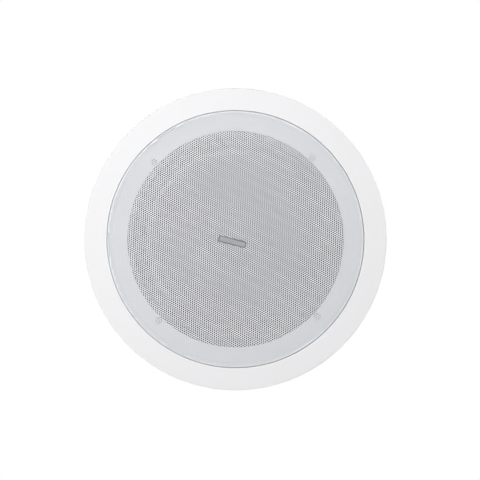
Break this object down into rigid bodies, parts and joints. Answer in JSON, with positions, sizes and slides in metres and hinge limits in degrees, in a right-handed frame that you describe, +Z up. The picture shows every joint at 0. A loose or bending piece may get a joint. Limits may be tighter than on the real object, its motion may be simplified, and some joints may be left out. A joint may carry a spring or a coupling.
{
  "type": "in-ceiling speaker",
  "caption": "Round in-ceiling loudspeaker with white bezel, perforated steel grille, cone driver, line transformer and sprung clips that hold it in a ceiling cut-out.",
  "frame": {"origin": "centre of the bezel's front plane, the lowest plane of the speaker as it hangs", "axes": "+Z up into the ceiling, along the driver's axis; the face looks down; the clips are on +X and -X"},
  "size_m": [0.21, 0.21, 0.068],
  "materials": {
    "white_moulding": "white ABS moulding, fine satin texture",
    "white_sheet": "perforated steel, white powder coat",
    "badge": "bare anodised plate",
    "black_screw": "blackened steel",
    "bright_screw": "zinc-plated steel",
    "gasket_card": "dark pressed card",
    "basket_paint": "pressed steel, black paint",
    "surround_rubber": "glossy rubber",
    "cone_paper": "dark pressed paper",
    "spider_cloth": "varnished cloth",
    "former_foil": "thin foil tube",
    "copper": "enamelled copper wire",
    "plated_steel": "zinc-plated steel",
    "ferrite": "sintered ferrite",
    "core_plates": "varnished steel plates",
    "bobbin_nylon": "natural nylon",
    "coil_tape": "polyester tape over copper wire",
    "block_nylon": "natural nylon",
    "phenolic": "phenolic board",
    "brass_tag": "tinned brass",
    "spring_steel": "spring steel"
  },
  "bodies": {
    "speaker": {"bezel": "white_moulding", "grille": "white_sheet", "badge_plate": "badge", "driver_screws": "black_screw", "driver_nuts": "bright_screw", "front_gasket": "gasket_card", "basket": "basket_paint", "surround": "surround_rubber", "spider": "spider_cloth", "top_plate": "plated_steel", "ring_magnet": "ferrite", "yoke": "plated_steel", "transformer_core": "core_plates", "transformer_bobbin": "bobbin_nylon", "transformer_winding": "coil_tape", "transformer_bracket": "plated_steel", "transformer_screws": "bright_screw", "block_screws": "bright_screw", "ear_nuts": "bright_screw", "terminal_block": "block_nylon", "terminal_screws": "bright_screw", "tag_strip": "phenolic", "solder_tags": "brass_tag", "clip_rivets": "bright_screw", "clip_bracket_right": "plated_steel", "clip_bracket_left": "plated_steel", "clip_pin_right": "bright_screw", "clip_pin_left": "bright_screw", "clip_spring_right": "spring_steel", "clip_spring_left": "spring_steel"},
    "cone_assembly": {"cone": "cone_paper", "dust_cap": "cone_paper", "voice_coil_former": "former_foil", "voice_coil_winding": "copper"},
    "right_arm": {"clip_arm_right": "plated_steel"},
    "left_arm": {"clip_arm_left": "plated_steel"}
  },
  "joints": [
    {"name": "cone_travel", "type": "slide", "parent": "speaker", "child": "cone_assembly", "axis": [0, 0, -1], "range_m": [-0.003, 0.003], "stiffness_N_per_m": 1500, "deforming": ["surround", "spider"]},
    {"name": "right_clip", "type": "hinge", "parent": "speaker", "child": "right_arm", "pos_m": [0.0918, 0, 0.034], "axis": [0, -1, 0], "range_deg": [0, 150], "stiffness_Nm_per_rad": 0.08, "springref_deg": -68.75, "deforming": ["clip_spring_right"]},
    {"name": "left_clip", "type": "hinge", "parent": "speaker", "child": "left_arm", "pos_m": [-0.0918, 0, 0.034], "axis": [0, 1, 0], "range_deg": [0, 150], "stiffness_Nm_per_rad": 0.08, "springref_deg": -68.75, "deforming": ["clip_spring_left"]}
  ]
}
